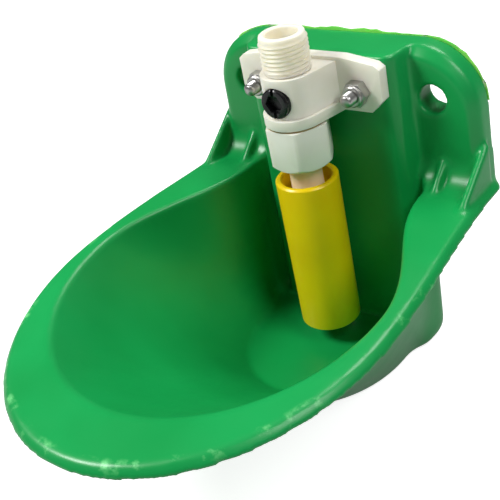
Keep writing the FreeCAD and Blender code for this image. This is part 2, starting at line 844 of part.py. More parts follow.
def make_cap_nut():
    body = new_body("cap_nut")
    top = "(body_bottom - nut_seal_height)"
    step = "(body_bottom - spigot_length - joint_gap)"
    raise_outline(body, "XY_Plane", "nut_bottom", top + " - nut_bottom",
                  lambda s: draw_hexagon(s, "nut_across_flats"))
    turn(body, [
        ("nut_corner_radius", top + " + cut_overlap"),
        ("nut_corner_radius", "nut_bottom + nut_chamfer"),
        ("nut_corner_radius - nut_chamfer", "nut_bottom"),
        ("nut_corner_radius - nut_chamfer", "nut_bottom - cut_overlap"),
        ("nut_corner_radius * 2", "nut_bottom - cut_overlap"),
        ("nut_corner_radius * 2", top + " + cut_overlap")], cut=True)
    turn(body, [
        ("0", top + " + cut_overlap"),
        ("spigot_radius + nut_thread_gap", top + " + cut_overlap"),
        ("spigot_radius + nut_thread_gap", step),
        ("socket_radius", step),
        ("socket_radius", "socket_floor"),
        ("nut_mouth_radius", "socket_floor"),
        ("nut_mouth_radius", "nut_bottom + nut_flare_height"),
        ("nut_flare_radius", "nut_bottom"),
        ("nut_flare_radius", "nut_bottom - cut_overlap"),
        ("0", "nut_bottom - cut_overlap")], cut=True)
    return place(body, "0", "-valve_axis")


def bound_object(kind, name, settings):
    """One Part primitive with its properties set by expressions."""
    item = doc.addObject(kind, name)
    for key, text in settings.items():
        item.setExpression(key, bound(text))
    return item


def make_swivel_ring():
    """The slip ring in the cap nut: a hollow sphere inside, so the stem's ball can tilt in it."""
    height = {"Placement.Base.y": "-valve_axis", "Placement.Base.z": "socket_floor"}
    outer = bound_object("Part::Cylinder", "swivel_outer", dict(
        height, Radius="socket_radius - running_gap", Height="ball_height - socket_floor + swivel_ring_rise"))
    hollow = bound_object("Part::Sphere", "swivel_hollow", {
        "Radius": "ball_radius + ball_gap",
        "Placement.Base.y": "-valve_axis",
        "Placement.Base.z": "ball_height"})
    mouth = bound_object("Part::Cylinder", "swivel_mouth", dict(
        height, Radius="nut_mouth_radius", Height="ball_height - socket_floor"))
    room = doc.addObject("Part::MultiFuse", "swivel_room")
    room.Shapes = [hollow, mouth]
    item = doc.addObject("Part::Cut", "swivel_ring")
    item.Base = outer
    item.Tool = room
    return item


def make_stem():
    shank = new_body("stem_shank")
    cone = "stem_shoulder + stem_radius - neck_radius"
    turn(shank, [
        ("0", "ball_height"),
        ("neck_radius", "ball_height"),
        ("neck_radius", cone),
        ("stem_radius", "stem_shoulder"),
        ("stem_radius", "stem_seat"),
        ("tenon_radius", "stem_seat"),
        ("tenon_radius", "stem_seat - tenon_length"),
        ("tube_screw_radius + running_gap", "stem_seat - tenon_length"),
        ("tube_screw_radius + running_gap", "stem_seat - hub_height + tube_screw_length"),
        ("0", "stem_seat - hub_height + tube_screw_length")])
    place(shank, "0", "-valve_axis")
    ball = bound_object("Part::Sphere", "stem_ball", {
        "Radius": "ball_radius",
        "Angle2": "asin(ball_flat / ball_radius)",
        "Placement.Base.y": "-valve_axis",
        "Placement.Base.z": "ball_height"})
    item = doc.addObject("Part::Fuse", "stem")
    item.Base = shank
    item.Tool = ball
    return item


def make_drinking_tube():
    body = new_body("drinking_tube")
    low = "(floor_height + tube_floor_gap)"
    inner = "tube_bore_radius + tube_edge"
    outer = "tube_radius - tube_edge"
    turn(body, [
        ("tube_bore_radius", low + " + tube_edge"),
        (inner, low),
        (outer, low),
        ("tube_radius", low + " + tube_edge"),
        ("tube_radius", "tube_top - tube_edge"),
        (outer, "tube_top"),
        (inner, "tube_top"),
        ("tube_bore_radius", "tube_top - tube_edge")])
    raise_outline(body, "XY_Plane", "stem_seat - hub_height", "hub_height",
                  lambda s: draw_circle(s, "hub_radius"))
    for along in (True, False):
        def web(sketch):
            long_x = "tube_bore_radius + tube_edge"
            short = "web_thickness / 2"
            x_text, y_text = (long_x, short) if along else (short, long_x)
            draw_polygon(sketch, [
                (x_text, y_text),
                ("-(" + x_text + ")", y_text),
                ("-(" + x_text + ")", "-(" + y_text + ")"),
                (x_text, "-(" + y_text + ")")])
        raise_outline(body, "XY_Plane", "stem_seat - hub_height", "hub_height", web)
    raise_outline(body, "XY_Plane", "stem_seat + cut_overlap", "hub_height + 2 * cut_overlap",
                  lambda s: draw_circle(s, "tenon_radius + hub_gap"), cut=True)
    return place(body, "0", "-valve_axis")


def make_tube_screw():
    body = new_body("tube_screw")
    seat = "(stem_seat - hub_height - tube_washer_thickness)"
    turn(body, [
        ("0", seat + " - tube_screw_head_height"),
        ("tube_screw_head_radius - tube_screw_chamfer", seat + " - tube_screw_head_height"),
        ("tube_screw_head_radius", seat + " - tube_screw_head_height + tube_screw_chamfer"),
        ("tube_screw_head_radius", seat),
        ("tube_screw_radius", seat),
        ("tube_screw_radius", "stem_seat - hub_height + tube_screw_length - tube_screw_end_gap"),
        ("0", "stem_seat - hub_height + tube_screw_length - tube_screw_end_gap")])
    raise_outline(body, "XY_Plane", seat + " - tube_screw_head_height", "tube_screw_key_depth",
                  lambda s: draw_hexagon(s, "tube_screw_key_size"), cut=True, reverse=True)
    return place(body, "0", "-valve_axis")


# Mounting hardware: the same for both ears, and each piece's own Z axis points out of the wall.

def stand_out(body, side, depth):
    """Turns a piece so that its Z axis points away from the wall, at a distance from it."""
    body.Placement = FreeCAD.Placement(V(), FreeCAD.Rotation(V(1, 0, 0), 90))
    return place(body, str(side) + " * (ear_half_length - bolt_inset)", "-(" + depth + ")", "bolt_height")


wall_inside = "pilaster_depth - shell_wall"
head_start = wall_inside + " - washer_thickness - bolt_head_height"


def make_bolt(name, side):
    body = new_body("mounting_bolt_" + name)
    raise_outline(body, "XY_Plane", "0", "bolt_head_height",
                  lambda s: draw_hexagon(s, "bolt_head_flats"))
    length = "bolt_end - (" + head_start + ")"
    turn(body, [
        ("0", "bolt_head_height / 2"),
        ("bolt_radius", "bolt_head_height / 2"),
        ("bolt_radius", length + " - bolt_end_chamfer"),
        ("bolt_radius - bolt_end_chamfer", length),
        ("0", length)])
    return stand_out(body, side, head_start)


def make_washer(name, side):
    body = new_body("bolt_washer_" + name)
    turn(body, [
        ("bolt_hole_radius", "0"),
        ("washer_radius", "0"),
        ("washer_radius", "washer_thickness"),
        ("bolt_hole_radius", "washer_thickness")])
    return stand_out(body, side, wall_inside + " - washer_thickness")


def make_lock_nut(name, side):
    body = new_body("lock_nut_" + name)
    raise_outline(body, "XY_Plane", "0", "lock_nut_height", lambda s: draw_hexagon(s, "lock_nut_flats"))
    turn(body, [
        ("0", "lock_nut_height / 2"),
        ("lock_nut_collar_radius", "lock_nut_height / 2"),
        ("lock_nut_collar_radius", "lock_nut_height + lock_nut_collar - lock_nut_bevel"),
        ("lock_nut_collar_radius - lock_nut_bevel", "lock_nut_height + lock_nut_collar"),
        ("0", "lock_nut_height + lock_nut_collar")])
    raise_outline(body, "XY_Plane", "lock_nut_height + lock_nut_collar + cut_overlap",
                  "lock_nut_height + lock_nut_collar + 2 * cut_overlap",
                  lambda s: draw_circle(s, "bolt_radius + running_gap"), cut=True)
    return stand_out(body, side, "pilaster_depth + ear_thickness")


nodes = [
    bowl_shell,
    make_valve_body(),
    make_inlet_nipple(),
    ring("inlet_seal", "inlet_bore_radius", "inlet_spigot_radius",
         "body_top - inlet_spigot_depth - inlet_seal_height", "body_top - inlet_spigot_depth"),
    make_regulator(),
    make_regulator_ring(),
    make_spring(),
    make_plunger(),
    ring("seat_seal", "seat_bore_radius", "seat_outer_radius", "seat_top - seat_thickness", "seat_top"),
    ring("seat_retainer", "retainer_bore_radius", "seat_outer_radius",
         "body_bottom - spigot_length - joint_gap", "seat_top - seat_thickness"),
    make_cap_nut(),
    ring("cap_nut_seal", "spigot_radius + nut_thread_gap", "nut_across_flats / 2",
         "body_bottom - nut_seal_height", "body_bottom"),
    make_swivel_ring(),
    make_stem(),
    make_drinking_tube(),
    ring("tube_washer", "tube_screw_radius + running_gap", "tube_washer_radius",
         "stem_seat - hub_height - tube_washer_thickness", "stem_seat - hub_height"),
    make_tube_screw()]
for side_name, side_sign in (("left", -1), ("right", 1)):
    nodes.append(make_bolt(side_name, side_sign))
    nodes.append(make_washer(side_name, side_sign))
    nodes.append(make_lock_nut(side_name, side_sign))

doc.recompute()
for item in doc.Objects:
    if "Invalid" in item.State or "Error" in item.State:
        raise RuntimeError(item.Name + " failed: " + ", ".join(item.State))
for node in nodes:
    if node.Shape.isNull() or not node.Shape.isValid() or node.Shape.Volume <= 0:
        raise RuntimeError(node.Label + " has no valid shape")

os.makedirs("parts", exist_ok=True)
for node in nodes:
    node.Shape.exportStep(os.path.join("parts", node.Label + ".step"))
    print(node.Label, len(node.Shape.Solids), round(node.Shape.Volume), "mm3")
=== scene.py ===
import bmesh
import bpy
import json
import math
from mathutils import Matrix, Vector, noise


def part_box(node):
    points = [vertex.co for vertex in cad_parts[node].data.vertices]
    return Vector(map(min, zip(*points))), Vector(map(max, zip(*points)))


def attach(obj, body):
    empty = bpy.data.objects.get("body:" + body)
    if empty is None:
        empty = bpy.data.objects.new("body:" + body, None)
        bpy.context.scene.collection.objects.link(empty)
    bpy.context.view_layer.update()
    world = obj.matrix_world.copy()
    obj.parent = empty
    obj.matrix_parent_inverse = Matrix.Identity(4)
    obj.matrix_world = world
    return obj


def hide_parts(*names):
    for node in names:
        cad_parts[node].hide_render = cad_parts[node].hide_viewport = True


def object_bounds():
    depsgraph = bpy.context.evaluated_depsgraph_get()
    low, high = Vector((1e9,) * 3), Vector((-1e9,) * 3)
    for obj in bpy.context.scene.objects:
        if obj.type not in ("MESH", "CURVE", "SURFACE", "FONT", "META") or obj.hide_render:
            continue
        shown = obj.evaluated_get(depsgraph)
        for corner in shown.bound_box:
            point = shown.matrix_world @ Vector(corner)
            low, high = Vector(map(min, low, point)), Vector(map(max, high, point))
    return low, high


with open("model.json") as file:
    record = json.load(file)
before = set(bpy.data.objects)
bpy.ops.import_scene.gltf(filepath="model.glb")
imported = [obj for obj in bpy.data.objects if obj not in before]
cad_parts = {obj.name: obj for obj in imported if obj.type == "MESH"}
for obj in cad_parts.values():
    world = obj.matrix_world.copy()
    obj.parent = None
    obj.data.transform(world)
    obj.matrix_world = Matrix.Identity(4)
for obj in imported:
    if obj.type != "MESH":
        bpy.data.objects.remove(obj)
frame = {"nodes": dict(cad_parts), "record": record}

# %% [markdown]
# The object is a wall-mounted drinking bowl for livestock: a green plastic bowl with a wall plate, and a
# valve whose yellow tube the animal pushes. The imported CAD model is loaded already, with every part in
# its place, so this script dresses it: finishes, light, rounded edges, threads and signs of use.
# Blender works in metres. Lengths are written here in millimetres, as on a drawing, and times MM.

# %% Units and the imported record
MM = 0.001
nodes = frame["nodes"]
cad_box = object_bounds()
slots = {entry["node"]: entry["material_slot"] for entry in frame["record"]["subparts"]}
riders = {name: body for body, names in frame["record"]["behaviour"]["bodies"].items() for name in names}
print(len(nodes), "parts on the bodies", *sorted(set(riders.values())))

# %% [markdown]
# Materials are small networks of shader nodes. They could be drawn by hand in the shader editor, but a
# script can be read and repeated. One function adds a node with its settings and its links, and another
# turns a colour as a picture program writes it into the linear numbers that the shaders add up.

# %% Helpers for materials


def linear(text):
    """A colour written as six hexadecimal digits, as the linear values that Blender works in."""
    parts = [int(text[k:k + 2], 16) / 255 for k in (0, 2, 4)]
    return tuple(p / 12.92 if p <= 0.04045 else ((p + 0.055) / 1.055) ** 2.4 for p in parts) + (1.0,)


def add_node(material, kind, settings=None, links=None):
    """One shader node: settings fill sockets or fields, links feed sockets, by their name or number."""
    node = material.node_tree.nodes.new(kind)
    for name, value in (settings or {}).items():
        if isinstance(name, int) or name in node.inputs:
            node.inputs[name].default_value = value
        else:
            setattr(node, name, value)
    for name, socket in (links or {}).items():
        material.node_tree.links.new(socket, node.inputs[name])
    return node


def new_material(name):
    """A node material with nothing in it yet."""
    material = bpy.data.materials.new(name)
    material.use_nodes = True
    material.node_tree.nodes.clear()
    return material


def finish_material(material, shader):
    """Gives the material its output node."""
    add_node(material, "ShaderNodeOutputMaterial", links={"Surface": shader.outputs[0]})
    print("material", material.name)
    return material


# %% [markdown]
# Most parts are moulded plastic, and moulded plastic is never quite one colour or quite flat. A plain
# glossy shader would look like a computer's idea of plastic, so three noise patterns do the work: a slow
# drift of colour over centimetres, a slow change of gloss, and a very shallow ripple of a few millimetres
# that bends the reflections, as sink marks do. A fine grain from the mould's steel breaks up the sheen.
# White and cream plastics also let light in, and subsurface scattering gives them their milky look.

# %% Moulded plastic
TINT_FROM, TINT_TO = 0.3, 0.7
GLOSS_BELOW, GLOSS_ABOVE = 0.05, 0.07
RIPPLE_STRENGTH = 0.5
GRAIN_SIZE, GRAIN_DEPTH, GRAIN_STRENGTH = 0.5, 0.02, 0.25
PLASTIC_IOR = 1.49
PLASTIC_SPECULAR = 0.4
SCATTER = (1.0, 0.9, 0.7)


def moulded_plastic(name, colour, shade, gloss, drift, ripple, depth, body=0.0, body_size=3.0, wear=None):
    """Plastic that drifts from colour to shade. Sizes are in millimetres, body is how far light gets in."""
    material = new_material(name)
    place = add_node(material, "ShaderNodeTexCoord").outputs["Object"]
    drifts, ripples, grains = [
        add_node(material, "ShaderNodeTexNoise", {"Scale": 1 / (size * MM), "Detail": detail},
                 {"Vector": place})
        for size, detail in ((drift, 2.0), (ripple, 3.0), (GRAIN_SIZE, 2.0))]
    tint = add_node(material, "ShaderNodeValToRGB", links={"Fac": drifts.outputs["Fac"]})
    for stop, at, text in zip(tint.color_ramp.elements, (TINT_FROM, TINT_TO), (shade, colour)):
        stop.position = at
        stop.color = linear(text)
    rough = add_node(material, "ShaderNodeMapRange",
                     {"To Min": gloss - GLOSS_BELOW, "To Max": gloss + GLOSS_ABOVE},
                     {"Value": ripples.outputs["Fac"]})
    soft = add_node(material, "ShaderNodeBump", {"Strength": RIPPLE_STRENGTH, "Distance": depth * MM},
                    {"Height": ripples.outputs["Fac"]})
    fine = add_node(material, "ShaderNodeBump", {"Strength": GRAIN_STRENGTH, "Distance": GRAIN_DEPTH * MM},
                    {"Height": grains.outputs["Fac"], "Normal": soft.outputs["Normal"]})
    paint = tint.outputs["Color"]
    if wear:
        paint = wear(material, place, paint)
    shader = add_node(
        material, "ShaderNodeBsdfPrincipled",
        {"IOR": PLASTIC_IOR, "Specular IOR Level": PLASTIC_SPECULAR, "Subsurface Weight": body,
         "Subsurface Scale": body_size * MM, "Subsurface Radius": SCATTER},
        {"Base Color": paint, "Roughness": rough.outputs["Result"], "Normal": fine.outputs["Normal"]})
    return finish_material(material, shader)


# %% [markdown]
# The rim's outer edge has been knocked about, and scratched polypropylene turns pale. The scuffs could be
# painted on a UV map, but the rim is an ellipse in plan, so one number says how near a point is to its
# edge, 1 being the edge itself. A band of that number, broken up by noise, puts the scuffs where animals
# and handling put them, and a limit on height keeps them off the rim's underside.

# %% Scuffs along the rim
RIM_HALF, RIM_WIDEST, RIM_REACH = 82.2, 113.0, 210.4
RIM_UNDERSIDE, RIM_EDGE_LOW = -56, -52
BAND_FROM, BAND_FULL, BAND_FADING, BAND_TO = 0.935, 0.96, 0.975, 1.0
SCUFF_SIZE, SCUFF_FROM, SCUFF_FULL = 11, 0.56, 0.68
SCUFF_COLOUR = "6CCB7E"


def rim_scuffs(material, place, paint):
    """Mixes the scuffs' pale green into the paint along the rim's edge."""
    sums, ranges = "ShaderNodeMath", "ShaderNodeMapRange"
    axes = add_node(material, "ShaderNodeSeparateXYZ", links={"Vector": place}).outputs
    ahead = add_node(material, sums, {"operation": "ADD", 1: RIM_WIDEST * MM}, {0: axes["Y"]})
    ahead = add_node(material, sums, {"operation": "MINIMUM", 1: 0.0}, {0: ahead.outputs[0]})
    along = add_node(material, sums, {"operation": "DIVIDE", 1: (RIM_REACH - RIM_WIDEST) * MM},
                     {0: ahead.outputs[0]})
    along = add_node(material, sums, {"operation": "MULTIPLY"}, {0: along.outputs[0], 1: along.outputs[0]})
    across = add_node(material, sums, {"operation": "DIVIDE", 1: RIM_HALF * MM}, {0: axes["X"]})
    across = add_node(material, sums, {"operation": "POWER", 1: 2.0}, {0: across.outputs[0]})
    edge = add_node(material, sums, {"operation": "ADD"}, {0: across.outputs[0], 1: along.outputs[0]})
    edge = add_node(material, sums, {"operation": "SQRT"}, {0: edge.outputs[0]}).outputs[0]
    spots = add_node(material, "ShaderNodeTexNoise",
                     {"Scale": 1 / (SCUFF_SIZE * MM), "Detail": 5.0, "Roughness": 0.62}, {"Vector": place})
    worn = None
    for value, low, high in ((edge, BAND_FROM, BAND_FULL), (edge, BAND_TO, BAND_FADING),
                             (axes["Z"], RIM_UNDERSIDE * MM, RIM_EDGE_LOW * MM),
                             (spots.outputs["Fac"], SCUFF_FROM, SCUFF_FULL)):
        share = add_node(material, ranges, {"From Min": low, "From Max": high}, {"Value": value}).outputs[0]
        if worn is None:
            worn = share
        else:
            worn = add_node(material, sums, {"operation": "MULTIPLY"}, {0: worn, 1: share}).outputs[0]
    mix = add_node(material, "ShaderNodeMix", {"data_type": "RGBA", 7: linear(SCUFF_COLOUR)},
                   {0: worn, 6: paint})
    return mix.outputs[2]


# %% [markdown]
# The plastics are the ones that such a bowl is made of. Each starts from its common name, the way it was
# shaped and a typical gloss, and was then matched to the photograph.

# %% The plastics
# Polypropylene, injection moulded: the bowl. A waxy, fairly even green with broad soft highlights.
polypropylene = moulded_plastic("green_polypropylene", "12994C", "0D8E43", gloss=0.32, drift=45, ripple=14,
                                depth=0.25, wear=rim_scuffs)
# Acetal, injection moulded: the valve body. It looks milky, since light enters some millimetres.
acetal_white = moulded_plastic("milky_acetal", "EFECE0", "E8E4D4", gloss=0.4, drift=12, ripple=5, depth=0.06,
                               body=0.35, body_size=4)
# Nylon, injection moulded: the nut. It is cooler in colour than the body above it and a little shinier.
nylon_white = moulded_plastic("cool_white_nylon", "ECECE0", "E6E6D8", gloss=0.36, drift=12, ripple=5,
                              depth=0.05, body=0.3, body_size=3)
# Nylon with no colour added: the inlet. Its ivory wall glows where light comes through the thread.
nylon_ivory = moulded_plastic("ivory_nylon", "F8EFDC", "F2E8D2", gloss=0.42, drift=9, ripple=4, depth=0.05,
                              body=0.8, body_size=8)
# Nylon, turned from rod: the stem. It is warm and peach-like in the shade of the nut.
nylon_cream = moulded_plastic("peach_cream_nylon", "F8E5C0", "F2DBB2", gloss=0.4, drift=9, ripple=4,
                              depth=0.05, body=0.6, body_size=6)
# Hard PVC, extruded: the tube. A clear strong yellow, smooth along its length.
tube_yellow = moulded_plastic("yellow_pvc_tube", "F3D002", "EAC602", gloss=0.3, drift=25, ripple=9,
                              depth=0.05, body=0.25, body_size=4)
# Glass-filled nylon, injection moulded: the flow plug. Near black, with small sharp highlights.
plug_black = moulded_plastic("black_glass_filled_nylon", "121214", "0D0D0F", gloss=0.26, drift=6, ripple=3,
                             depth=0.03)
# Acetal again, in grey: the rings inside the valve. The grips in the lock nuts have the same dull grey.
ring_grey = moulded_plastic("grey_acetal", "8A8C8E", "808284", gloss=0.45, drift=8, ripple=4, depth=0.04)
# Nitrile rubber, moulded: the seals. Dull and dark.
rubber_black = moulded_plastic("black_rubber", "1C1C1D", "151516", gloss=0.62, drift=6, ripple=2, depth=0.04)
# Mould flash: polypropylene so thin that light shines through it, so it is paler and yellower than the bowl.
flash_green = moulded_plastic("pale_green_flash", "7FE05C", "55C850", gloss=0.4, drift=20, ripple=5,
                              depth=0.05, body=0.6, body_size=3)
# Vulcanised fibre, pressed: the washer above the nut. Its matt tan edge is the thin brown seam there.
fibre_tan = moulded_plastic("tan_fibre_washer", "A58E5C", "8C7648", gloss=0.7, drift=4, ripple=1.5,
                            depth=0.05)

# %% [markdown]
# The bolts, nuts, washers, screw and spring are stainless steel. Steel from a cold header has a cloudy
# gloss, so its roughness and a very shallow bump vary over a millimetre or two. One even roughness would
# make it look like chrome or like grey paint.

# %% Stainless steel
CLOUD_SIZE = 2.5
STEEL_SHINE, STEEL_DULL = 0.24, 0.46
STEEL_BUMP, STEEL_BUMP_STRENGTH = 0.03, 0.3
stainless = new_material("stainless_steel")
steel_place = add_node(stainless, "ShaderNodeTexCoord").outputs["Object"]
steel_cloud = add_node(stainless, "ShaderNodeTexNoise", {"Scale": 1 / (CLOUD_SIZE * MM), "Detail": 4.0},
                       {"Vector": steel_place}).outputs["Fac"]
steel_rough = add_node(stainless, "ShaderNodeMapRange", {"To Min": STEEL_SHINE, "To Max": STEEL_DULL},
                       {"Value": steel_cloud})
steel_bump = add_node(stainless, "ShaderNodeBump",
                      {"Strength": STEEL_BUMP_STRENGTH, "Distance": STEEL_BUMP * MM}, {"Height": steel_cloud})
steel_shader = add_node(stainless, "ShaderNodeBsdfPrincipled",
                        {"Base Color": linear("B4B3B0"), "Metallic": 1.0},
                        {"Roughness": steel_rough.outputs["Result"], "Normal": steel_bump.outputs["Normal"]})
finish_material(stainless, steel_shader)

# %% [markdown]
# The camera stands where the photograph was taken from: 43 degrees to the side and 33 degrees up, rolled
# by 13 degrees. It could be set by eye, but a fit is exact: its place and lens were fitted to the round
# and hexagonal parts, whose real sizes are known. The lens is shifted a little, as in a cropped picture.

# %% Camera
VIEW_SIDE, VIEW_UP, VIEW_ROLL = math.radians(43.191), math.radians(32.564), math.radians(-12.647)
VIEW_AWAY = 407.178 * MM
VIEW_TARGET = Vector((-5.515, -78.926, -51.846)) * MM
LENS, SENSOR = 67.013, 36
SHIFT_X, SHIFT_Y = -0.0196, 0.02146
back = Vector((math.sin(VIEW_SIDE) * math.cos(VIEW_UP), -math.cos(VIEW_SIDE) * math.cos(VIEW_UP),
               math.sin(VIEW_UP)))
right = Vector((math.cos(VIEW_SIDE), math.sin(VIEW_SIDE), 0))
up = back.cross(right)
turned_right = right * math.cos(VIEW_ROLL) + up * math.sin(VIEW_ROLL)
turned_up = up * math.cos(VIEW_ROLL) - right * math.sin(VIEW_ROLL)
lens = bpy.data.cameras.new("view")
lens.sensor_width = SENSOR
lens.lens = LENS
lens.shift_x = SHIFT_X
lens.shift_y = SHIFT_Y
lens.clip_start = 10 * MM
camera = bpy.data.objects.new("view", lens)
bpy.context.scene.collection.objects.link(camera)
turn = Matrix((turned_right, turned_up, back)).transposed().to_4x4()
camera.matrix_world = Matrix.Translation(VIEW_TARGET + back * VIEW_AWAY) @ turn
bpy.context.scene.camera = camera
print("camera at", [round(v, 3) for v in camera.location])

# %% [markdown]
# The bowl stands on a plain pale floor. More light on the floor would bleach the bowl too, so the floor
# shows the camera a little light of its own instead: it comes out white, as the photograph's background
# does, and still holds the bowl's soft shadow. Mirror-like surfaces see some of that light as well.

# %% Floor
FLOOR_GAP = 0.1
FLOOR_SIZE = 4.0
SEEN_GLOW, MIRRORED_GLOW = 0.85, 0.12
FLOOR_COLOUR = "BDBDBD"
floor_mesh = bmesh.new()
bmesh.ops.create_grid(floor_mesh, x_segments=1, y_segments=1, size=FLOOR_SIZE)
bmesh.ops.translate(floor_mesh, verts=floor_mesh.verts, vec=(0, 0, cad_box[0].z - FLOOR_GAP * MM))
floor_data = bpy.data.meshes.new("floor")
floor_mesh.to_mesh(floor_data)
floor_mesh.free()
floor = bpy.data.objects.new("floor", floor_data)
bpy.context.scene.collection.objects.link(floor)

paper = new_material("white_paper")
rays = add_node(paper, "ShaderNodeLightPath").outputs
mirrored = add_node(paper, "ShaderNodeMapRange", {"To Max": MIRRORED_GLOW}, {"Value": rays["Is Glossy Ray"]})
seen = add_node(paper, "ShaderNodeMapRange", {"To Max": SEEN_GLOW}, {"Value": rays["Is Camera Ray"]})
glow = add_node(paper, "ShaderNodeMath", {"operation": "ADD"}, {0: seen.outputs[0], 1: mirrored.outputs[0]})
paper_shader = add_node(paper, "ShaderNodeBsdfPrincipled",
                        {"Base Color": linear(FLOOR_COLOUR), "Roughness": 0.9,
                         "Emission Color": (1, 1, 1, 1)},
                        {"Emission Strength": glow.outputs[0]})
floor.data.materials.append(finish_material(paper, paper_shader))

# %% [markdown]
# Soft studio light: one large lamp high behind the wall plate, one on each side, and a pale room. One
# lamp in front would be simpler, but it would light the back of the bowl, which the plate and the valve
# shade in the photograph. The lamps' places and levels were fitted to the photograph's light and shade.

# %% Light
LAMP_AIM = Vector((0, -90, -50)) * MM
LAMPS = {"back": ((0.1, 0.46, 1.0), 0.5, 7.0), "right": ((0.79, -0.23, 0.84), 0.5, 6.0),
         "left": ((-0.62, -0.6, 0.85), 0.4, 13.5)}
ROOM_LIGHT, ROOM_SEEN = 0.1, 1.0
for name, (place, size, power) in LAMPS.items():
    data = bpy.data.lights.new(name, "AREA")
    data.shape = "DISK"
    data.size = size
    data.energy = power
    lamp = bpy.data.objects.new(name, data)
    bpy.context.scene.collection.objects.link(lamp)
    lamp.location = place
    lamp.rotation_euler = (LAMP_AIM - Vector(place)).to_track_quat("-Z", "Y").to_euler()
    print("lamp", name, power, "W")

room = bpy.data.worlds.new("room")
bpy.context.scene.world = room
room.use_nodes = True
room.node_tree.nodes.clear()
room_rays = add_node(room, "ShaderNodeLightPath").outputs
room_level = add_node(room, "ShaderNodeMapRange", {"To Min": ROOM_LIGHT, "To Max": ROOM_SEEN},
                      {"Value": room_rays["Is Camera Ray"]})
room_shader = add_node(room, "ShaderNodeBackground", {"Color": (1, 1, 1, 1)},
                       {"Strength": room_level.outputs["Result"]})
add_node(room, "ShaderNodeOutputWorld", links={"Surface": room_shader.outputs[0]})
bpy.context.scene.view_settings.view_transform = "Standard"

# %% [markdown]
# The record gives every CAD part a material slot, and one table turns a slot into a finish. That is
# surer than naming a finish part by part. Only the washer above the nut differs from the other seals.

# %% Finishes on the frame's parts
finishes = {
    "green_shell": polypropylene, "white_body": acetal_white, "ivory_nipple": nylon_ivory,
    "white_nut": nylon_white, "cream_stem": nylon_cream, "yellow_tube": tube_yellow,
    "black_plug": plug_black, "grey_ring": ring_grey, "steel": stainless, "seal": rubber_black}
for name, slot in slots.items():
    part = nodes[name]
    part.data.materials.clear()
    part.data.materials.append(finishes[slot])
    print(part.name, "is", slot)
nodes["cap_nut_seal"].data.materials[0] = fibre_tan

# %% [markdown]
# Some CAD parts need a dressed copy. A frame part's mesh is loose triangles, and an operator such as
# bevel needs whole faces, so a copy is merged and its flat faces are joined first. The part itself is
# left alone: the copy stands in for it and moves with the same body.

# %% Helpers for dressed pieces
MERGE = 0.002
FLAT_ANGLE = 0.5


def part_bmesh(name):
    """A copy of a frame part as one closed surface, its flat faces whole again."""
    shape = bmesh.new()
    shape.from_mesh(nodes[name].data)
    bmesh.ops.remove_doubles(shape, verts=shape.verts, dist=MERGE * MM)
    bmesh.ops.dissolve_limit(shape, angle_limit=math.radians(FLAT_ANGLE), verts=shape.verts,
                             edges=shape.edges)
    return shape


def add_piece(name, shape, body, finish, smooth=None):
    """Makes an object from a bmesh, gives it its material and fixes it to a body of the frame."""
    data = bpy.data.meshes.new(name)
    shape.to_mesh(data)
    shape.free()
    piece = bpy.data.objects.new(name, data)
    bpy.context.scene.collection.objects.link(piece)
    if smooth is not None:
        data.shade_smooth()
        data.set_sharp_from_angle(angle=math.radians(smooth))
    data.materials.append(finish)
    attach(piece, body)
    return piece


def settle(piece):
    """Applies a piece's modifiers."""
    depsgraph = bpy.context.evaluated_depsgraph_get()
    done = bpy.data.meshes.new_from_object(piece.evaluated_get(depsgraph), depsgraph=depsgraph)
    piece.modifiers.clear()
    old = piece.data
    piece.data = done
    done.name = old.name
    bpy.data.meshes.remove(old)


def stand_in(piece, name):
    """The piece takes the place of a frame part."""
    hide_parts(name)
    print(piece.name, "replaces", name, len(piece.data.polygons), "faces")


# %% [markdown]
# The bowl is one moulding, and a moulding has no knife edges. A bevel on every edge would fail where ribs,
# ledges and the curved rim run into each other. A voxel remesh rebuilds the whole skin in cells of 0.9 mm
# instead, and some rounds of smoothing round its edges and fill its inner corners a little, as the
# mould's corner radii do. The last modifier thins out the faces, most of which lie on flat walls.

# %% The shell, softened
VOXEL = 0.9
SMOOTH_FACTOR, SMOOTH_ROUNDS = 0.5, 14
KEPT_SHARE = 0.45
shell = add_piece("shell", part_bmesh("bowl_shell"), riders["bowl_shell"], polypropylene)
remesh = shell.modifiers.new("voxels", "REMESH")
remesh.mode = "VOXEL"
remesh.voxel_size = VOXEL * MM
remesh.use_smooth_shade = True
relax = shell.modifiers.new("relax", "SMOOTH")
relax.factor = SMOOTH_FACTOR
relax.iterations = SMOOTH_ROUNDS
thin = shell.modifiers.new("thin", "DECIMATE")
thin.ratio = KEPT_SHARE
settle(shell)
stand_in(shell, "bowl_shell")

# %% [markdown]
# The mould's halves met along the plate's back edge and left a thin ragged fin of pale plastic. It could
# be a painted line, but a real fin catches the light and breaks the outline. An upright cut through the
# shell, just in front of the wall, gives the plate's outline. Its edges are drawn outwards by a width
# that wavers with noise and dies away at the foot of each rounded corner, and Solidify gives it thickness.

# %% Mould flash on the plate
PLATE_HALF, CORNER_RADIUS = 68.5, 29
OUTLINE_SLACK = 0.5
FLASH_BACK, FLASH_LOW, FLASH_TAPER = 0.6, -6.5, 14
FLASH_MIDDLE = -10
FLASH_ROOT, FLASH_THICKNESS = 1.5, 0.5
FLASH_WIDTH, FLASH_WAVER, FLASH_LEAST = 0.9, 1.4, 0.15
FLASH_COARSE, FLASH_FINE, FINE_SHARE = 14, 4, 0.5
LONG_EDGE, LONG_EDGE_CUTS = 4, 24
corner_x = PLATE_HALF - CORNER_RADIUS
corner_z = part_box("bowl_shell")[1].z / MM - CORNER_RADIUS


